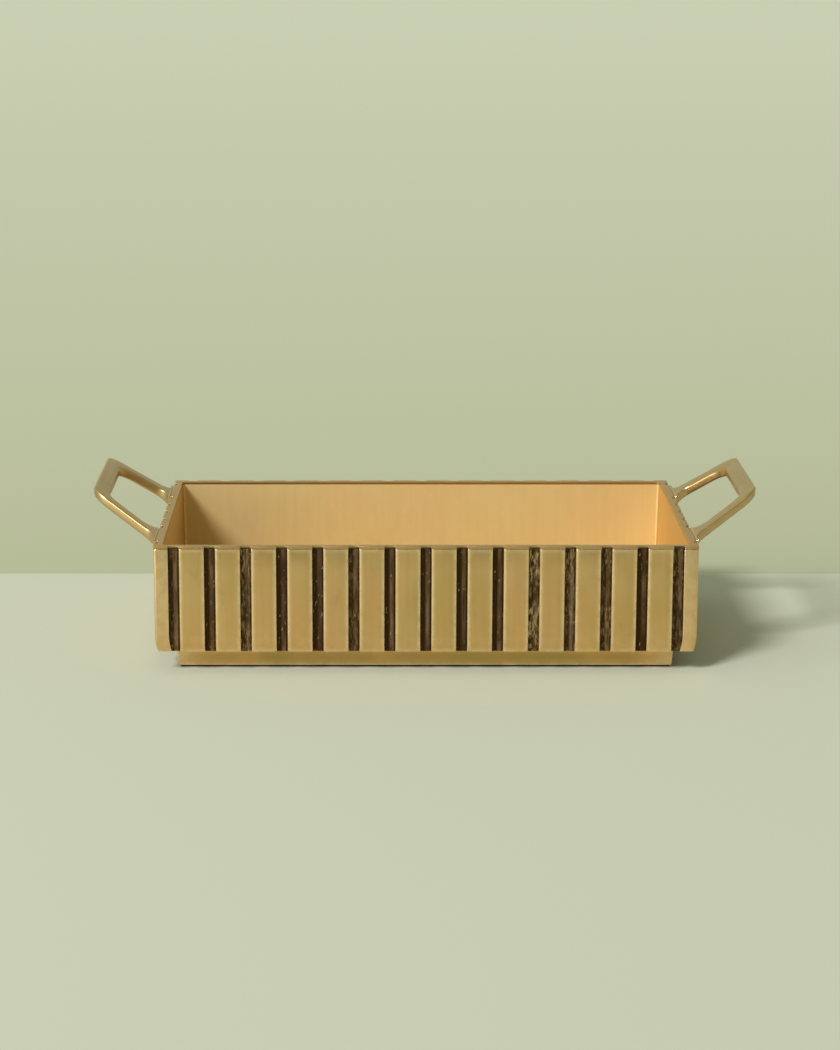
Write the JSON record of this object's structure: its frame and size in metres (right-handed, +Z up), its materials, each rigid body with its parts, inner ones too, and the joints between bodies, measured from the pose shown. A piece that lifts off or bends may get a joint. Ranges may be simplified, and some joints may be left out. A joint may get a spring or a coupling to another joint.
{
  "type": "brass tray",
  "caption": "Deep rectangular metal tray with ribbed sides, a notched flat rim, two sloping bow handles and a set-back plinth.",
  "frame": {"origin": "on the ground under the middle of the tray", "axes": "+X along the length, from one handle to the other; +Y from front to back; +Z up"},
  "size_m": [0.3984, 0.1926, 0.1027],
  "materials": {
    "brass_rib": "satin polished bars with worn edges",
    "brass_wall": "satin inside, brown patina in the outer grooves",
    "brass_rim": "satin, dull on top",
    "brass_plinth": "satin, slightly darker",
    "brass_handle": "satin top, polished edges",
    "felt": "black wool felt"
  },
  "bodies": {
    "root": {"felt_strip_front": "felt", "felt_strip_back": "felt", "plinth_frame": "brass_plinth", "floor_plate": "brass_wall", "wall_front": "brass_wall", "rib_front_01": "brass_rib", "rib_front_02": "brass_rib", "rib_front_03": "brass_rib", "rib_front_04": "brass_rib", "rib_front_05": "brass_rib", "rib_front_06": "brass_rib", "rib_front_07": "brass_rib", "rib_front_08": "brass_rib", "rib_front_09": "brass_rib", "rib_front_10": "brass_rib", "rib_front_11": "brass_rib", "rib_front_12": "brass_rib", "rib_front_13": "brass_rib", "rib_front_14": "brass_rib", "wall_back": "brass_wall", "rib_back_01": "brass_rib", "rib_back_02": "brass_rib", "rib_back_03": "brass_rib", "rib_back_04": "brass_rib", "rib_back_05": "brass_rib", "rib_back_06": "brass_rib", "rib_back_07": "brass_rib", "rib_back_08": "brass_rib", "rib_back_09": "brass_rib", "rib_back_10": "brass_rib", "rib_back_11": "brass_rib", "rib_back_12": "brass_rib", "rib_back_13": "brass_rib", "rib_back_14": "brass_rib", "wall_left": "brass_wall", "rib_left_01": "brass_rib", "rib_left_02": "brass_rib", "rib_left_03": "brass_rib", "rib_left_04": "brass_rib", "rib_left_05": "brass_rib", "rib_left_06": "brass_rib", "rib_left_07": "brass_rib", "rib_left_08": "brass_rib", "wall_right": "brass_wall", "rib_right_01": "brass_rib", "rib_right_02": "brass_rib", "rib_right_03": "brass_rib", "rib_right_04": "brass_rib", "rib_right_05": "brass_rib", "rib_right_06": "brass_rib", "rib_right_07": "brass_rib", "rib_right_08": "brass_rib", "post_front_left": "brass_rib", "post_back_left": "brass_rib", "post_front_right": "brass_rib", "post_back_right": "brass_rib", "rim_frame": "brass_rim", "handle_right": "brass_handle", "handle_left": "brass_handle"}
  },
  "joints": []
}
